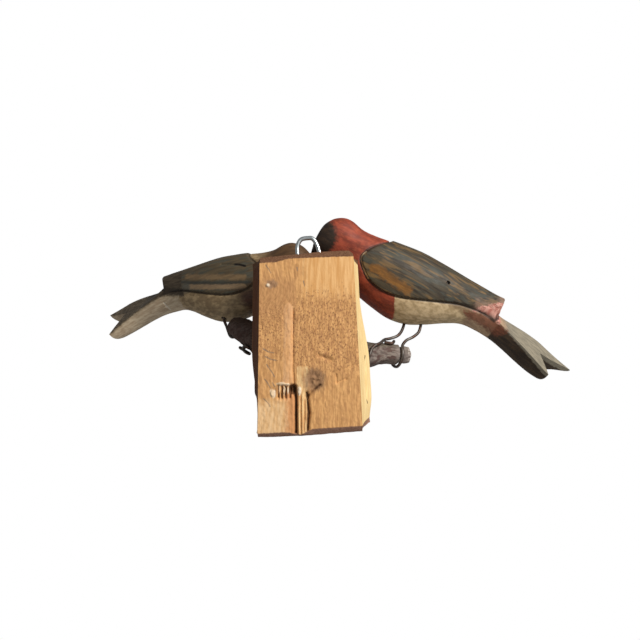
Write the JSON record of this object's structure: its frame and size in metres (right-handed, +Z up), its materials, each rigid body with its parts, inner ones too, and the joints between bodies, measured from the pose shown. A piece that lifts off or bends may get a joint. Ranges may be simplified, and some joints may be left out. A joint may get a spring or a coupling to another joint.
{
  "type": "carved wooden bird pair",
  "caption": "Carved and painted wooden songbirds with wire legs on a forked branch, fixed to a sawn block that hangs on a wall by a wire staple.",
  "frame": {"origin": "middle of the block's flat back face, which rests on the wall", "axes": "+Z up; +Y out of the flat back face, into the wall; +X towards the olive bird's tail as the back is seen, so -Y is the side seen from the room"},
  "size_m": [0.4271, 0.1328, 0.1774],
  "materials": {
    "pine": "sawn softwood, rough and unpainted, ends stained brown",
    "bark": "natural branch with grey-brown bark",
    "red_paint": "carved wood, worn matt paint: red, olive brown and pale tan",
    "olive_paint": "carved wood, worn matt paint: olive brown, ochre and tan",
    "zinc": "bright zinc-plated wire",
    "iron_wire": "dark annealed iron wire"
  },
  "bodies": {
    "root": {"back_block": "pine", "branch": "bark", "red_bird": "red_paint", "olive_bird": "olive_paint", "hanging_staple": "zinc", "red_bird_front_leg": "iron_wire", "red_bird_rear_leg": "iron_wire", "olive_bird_front_leg": "iron_wire", "olive_bird_rear_leg": "iron_wire"}
  },
  "joints": []
}
